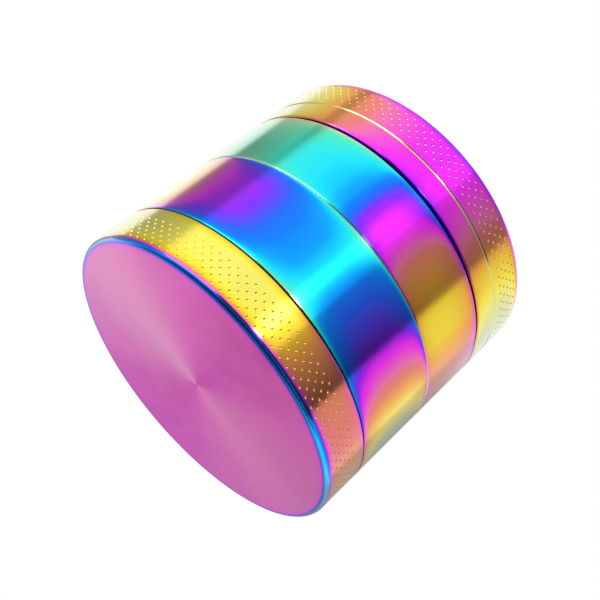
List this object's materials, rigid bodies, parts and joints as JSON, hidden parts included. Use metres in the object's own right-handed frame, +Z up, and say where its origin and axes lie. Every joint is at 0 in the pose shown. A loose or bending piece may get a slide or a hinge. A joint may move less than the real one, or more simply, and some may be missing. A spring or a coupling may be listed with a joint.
{
  "type": "hand grinder",
  "caption": "Round hand grinder of stacked metal sections: toothed lid, grinding chamber, sieve chamber and catcher, rainbow coated.",
  "frame": {"origin": "centre of the catcher's flat underside, which the grinder stands on", "axes": "+Z up along the axis of the four sections, towards the lid; +X and +Y across the axis"},
  "size_m": [0.05, 0.05, 0.044],
  "materials": {
    "coated_zinc_gold": "satin",
    "coated_zinc_blue": "satin",
    "coated_zinc_cyan": "satin",
    "coated_zinc_magenta": "satin",
    "sieve_steel": "satin",
    "ring_steel": "satin",
    "magnet_nickel": "polished",
    "nylon": "matte",
    "scraper_plastic": "satin"
  },
  "bodies": {
    "catcher": {"catcher": "coated_zinc_gold"},
    "scraper": {"scraper": "scraper_plastic"},
    "screen_ring": {"screen_ring": "ring_steel"},
    "sieve_section": {"sieve_chamber": "coated_zinc_blue", "screen": "sieve_steel"},
    "chamber_magnet": {"chamber_magnet": "magnet_nickel"},
    "grinding_section": {"grinding_chamber": "coated_zinc_cyan"},
    "friction_ring": {"friction_ring": "nylon"},
    "lid_section": {"lid": "coated_zinc_magenta", "lid_magnet": "magnet_nickel"}
  },
  "joints": [
    {"name": "scraper_slide", "type": "slide", "parent": "catcher", "child": "scraper", "axis": [0, 1, 0], "range_m": [-0.005, 0.005]},
    {"name": "sieve_rise", "type": "slide", "parent": "catcher", "child": "screen_ring", "axis": [0, 0, 1], "range_m": [0, 0.018]},
    {"name": "sieve_turn", "type": "hinge", "parent": "screen_ring", "child": "sieve_section", "pos_m": [0, 0, 0.0076], "axis": [0, 0, 1], "range_deg": [0, 3240]},
    {"name": "chamber_rise", "type": "slide", "parent": "sieve_section", "child": "chamber_magnet", "axis": [0, 0, 1], "range_m": [0, 0.018]},
    {"name": "chamber_turn", "type": "hinge", "parent": "chamber_magnet", "child": "grinding_section", "pos_m": [0, 0, 0.0217], "axis": [0, 0, 1], "range_deg": [0, 3240]},
    {"name": "lid_turn", "type": "hinge", "parent": "grinding_section", "child": "friction_ring", "pos_m": [0, 0, 0.0332], "axis": [0, 0, 1], "continuous": true},
    {"name": "lid_lift", "type": "slide", "parent": "friction_ring", "child": "lid_section", "axis": [0, 0, 1], "range_m": [0, 0.03]}
  ],
  "couplings": [
    {"joint": "sieve_rise", "follows": "sieve_turn", "m_per_rad": 0.00031831},
    {"joint": "chamber_rise", "follows": "chamber_turn", "m_per_rad": 0.00031831}
  ]
}
